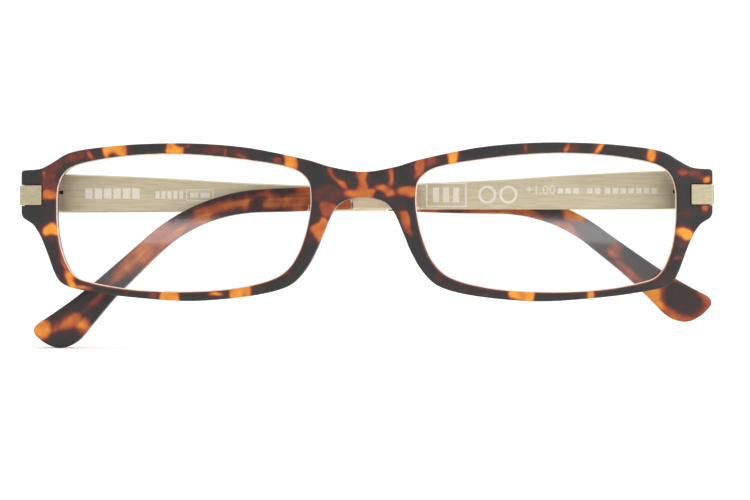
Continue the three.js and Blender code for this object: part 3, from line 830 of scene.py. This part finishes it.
def core_solid(side, grow):
    """The bore for the wire inside a tip, which is grown by the play round the wire."""
    stops = np.linspace(-1, CORE["length"] + grow, 30)
    reach = CORE["half"] + grow
    upper = [along_tip(side, s, reach) for s in stops]
    lower = [along_tip(side, s, -reach) for s in reversed(stops)]
    half = CORE["thick"] / 2 + grow
    return prism([np.array(upper + lower)], lambda _: PLATE_MIDDLE - half, lambda _: PLATE_MIDDLE + half)


def temple_tip(side, material):
    share = TEMPLES[side]["tip"] / TIP_LENGTH
    outline = np.array([along_tip(side, s * share, n) for s, n in spline(TIP_OUTLINE, 10)])
    near, far = PLATE_MIDDLE - TIP_THICK / 2, PLATE_MIDDLE + TIP_THICK / 2
    solid = on_temple(side, prism([outline], lambda _: near, lambda _: far))
    obj = moulded(f"tortoiseshell_tip_{side}", [solid], rounds=26)
    flat, depth = tip_places(side, points_of(obj))
    amount = mottled(flat, depth, TIP_LIGHT[side], TIP_DARK[side], SEEDS[side], TIP_SOFTNESS)
    fade = np.clip((STREAKS["end"] - flat[:, 0]) / STREAKS["fade"], 0, 1)
    streaks = fade * smooth_noise(flat, SEEDS[side], STREAKS["scale"])
    store(obj, amount * (1 + STREAKS["amount"] * streaks))
    cut(obj, [on_temple(side, core_solid(side, GAP / 2))])
    give(obj, material)
    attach(obj, f"temple_{side}")
    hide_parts(f"temple_tip_{side}")


def slot_shade_block(side, material):
    """A dark block behind the slot that the hinge leaves in a plate: painted shade standing in for the shade
    inside the slot.
    """
    solid = on_temple(side, box(*SLOT_SHADE_BLOCK))
    obj = add_mesh(f"slot_shade_block_{side}", *solid, smooth=False)
    give(bevelled(obj, BROKEN_EDGE["shade_block"]), material)
    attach(obj, f"temple_{side}")


# ---- Printing on the inner faces of the plates ----
def bar(u0, u1, z0, z1):
    return box((u0, PLATE_INNER - INK["thick"], z0), (u1, PLATE_INNER + INK["sunk"], z1))


def row_of_bars(start, step, count, width, z0, z1):
    return [bar(start + step * i, start + step * i + width, z0, z1) for i in range(count)]


def outlined_box(u0, u1, z0, z1, line):
    return [
        bar(u0, u1, z1 - line, z1), bar(u0, u1, z0, z0 + line),
        bar(u0, u0 + line, z0 + line, z1 - line), bar(u1 - line, u1, z0 + line, z1 - line),
    ]


def ring(u, z):
    loops = [circle(u, z, RING[edge], 40) for edge in ("outer", "inner")]
    return prism(loops, lambda _: PLATE_INNER - INK["thick"], lambda _: PLATE_INNER + INK["sunk"])


def numeral_mesh(side, words, u, z, height):
    """The lens power as raised numerals whose left end, seen from the front, is at u."""
    text = bpy.data.curves.new("numerals", "FONT")
    text.body = words
    text.size = height
    text.extrude = INK["thick"] / 2
    maker = bpy.data.objects.new("numerals", text)
    bpy.context.scene.collection.objects.link(maker)
    bpy.context.view_layer.update()
    mesh = bpy.data.meshes.new_from_object(maker.evaluated_get(bpy.context.evaluated_depsgraph_get()))
    points = []
    for vertex in mesh.vertices:
        x, y, depth = vertex.co
        points.append(temple_point(side, u - SIDES[side] * x, PLATE_INNER - depth, z + y))
    faces = [tuple(p.vertices) for p in mesh.polygons]
    bpy.data.objects.remove(maker)
    return points, faces


def printing(side, material):
    """Plain marks where a maker prints the power and size, with no words."""
    marks = MARKS[side]
    solids = [solid for numbers in marks["boxes"] for solid in outlined_box(*numbers)]
    solids += [solid for numbers in marks["bars"] for solid in row_of_bars(*numbers)]
    solids += [ring(*middle) for middle in marks["rings"]]
    placed = [on_temple(side, solid) for solid in solids]
    placed += [numeral_mesh(side, *numbers) for numbers in marks["numerals"]]
    obj = give(add_mesh(f"printing_{side}", *merged(placed), smooth=False), material)
    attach(obj, f"temple_{side}")


# ---- Stage, lights and camera ----
def backdrop():
    """A pale floor that curves up into a wall behind the glasses."""
    curve_radius, back_y, height, half_width = 0.9, 2.2, 3.5, 5
    profile = [(-4.0, 0.0), (-0.5, 0.0), (back_y - curve_radius, 0.0)]
    for a in np.linspace(0, math.pi / 2, 16)[1:]:
        profile.append((back_y - curve_radius * (1 - math.sin(a)), curve_radius * (1 - math.cos(a))))
    profile.append((back_y, height))
    points = [(x, y, z) for y, z in profile for x in (-half_width, half_width)]
    faces = [(2 * i, 2 * i + 1, 2 * i + 3, 2 * i + 2) for i in range(len(profile) - 1)]
    obj = add_mesh("backdrop", np.array(points) / MM - ORIGIN, faces)
    look = Look("pale_backdrop", Roughness=0.9, Emission_Color=(1, 1, 1, 1), Emission_Strength=0.1)
    look.set("Base Color", look.ramp(look.noise(8, 2), [(NOISE_LOW, "F4F4F3"), (NOISE_HIGH, "FAFAF9")]))
    give(obj, look.material)


def soft_light(name, place, wide, high, power):
    light = bpy.data.lights.new(name, "AREA")
    light.shape = "RECTANGLE"
    light.size = wide
    light.size_y = high
    light.energy = power
    obj = bpy.data.objects.new(name, light)
    obj.location = place
    obj.rotation_euler = (Vector(LIGHT_AIM) - Vector(place)).to_track_quat("-Z", "Y").to_euler()
    bpy.context.scene.collection.objects.link(obj)


def flag():
    """A dark card in front, seen only in reflections, which keeps the upper lenses clear of glare."""
    half_width, bottom, top, y = 1.1, 0.05, 0.32, -1.2
    corners = [(-half_width, y, bottom), (half_width, y, bottom), (half_width, y, top), (-half_width, y, top)]
    obj = add_mesh("dark_card", np.array(corners) / MM - ORIGIN, [(0, 1, 2, 3)])
    look = Look("dark_card", Base_Color=(0, 0, 0, 1), Specular_IOR_Level=0)
    give(obj, look.material)
    obj.visible_camera = obj.visible_diffuse = obj.visible_transmission = obj.visible_shadow = False


def studio():
    bpy.context.scene.view_settings.view_transform = "Standard"
    world = bpy.data.worlds.new("studio")
    world.use_nodes = True
    background = world.node_tree.nodes["Background"]
    background.inputs["Color"].default_value = (1, 1, 1, 1)
    background.inputs["Strength"].default_value = WORLD_STRENGTH
    bpy.context.scene.world = world
    for name, values in LIGHTS.items():
        soft_light(name, **values)


def camera():
    data = bpy.data.cameras.new("camera")
    data.lens = CAMERA["lens"]
    data.clip_start = 0.01
    obj = bpy.data.objects.new("camera", data)
    x = CAMERA["aim_x"] + CAMERA["distance"] * math.sin(CAMERA["yaw"])
    y = -CAMERA["distance"] * math.cos(CAMERA["yaw"])
    obj.location = to_metres((x, y, CAMERA["height"]))
    obj.rotation_euler = (math.pi / 2, 0, CAMERA["yaw"])
    bpy.context.scene.collection.objects.link(obj)
    bpy.context.scene.camera = obj


# ---- Assembly ----
def dress_cad_nodes(gold, silver):
    """Materials and broken edges for the CAD pieces that stay."""
    for name, node in frame["nodes"].items():
        if name.startswith("hinge_"):
            give(bevelled(node, BROKEN_EDGE["steel"]), silver)
        elif name.startswith("temple_plate_"):
            give(node, gold)


def main():
    shell, glass, edge_highlight, pale, silver = tortoise(), clear(), pale_edge_highlight(), ink(), steel()
    trim_gold = brushed("brushed_gold", "ABA083", "C4BA9F")
    # The plates get a lighter copy of the trims' gold: painted light that makes up for the shade and dark
    # reflections on the plates' inner faces
    plate_gold_lit_copy = brushed("satin_gold_painted_lighter", "CEC1A2", "E6DABE")
    shade_block = painted_slot_shade()
    camera()
    studio()
    backdrop()
    flag()
    front_frame(shell)
    for side in SIDES:
        lens(side, glass)
        lens_edge(side, edge_highlight)
        corner_trim(side, trim_gold)
        temple_tip(side, shell)
        printing(side, pale)
        slot_shade_block(side, shade_block)
    dress_cad_nodes(plate_gold_lit_copy, silver)


main()
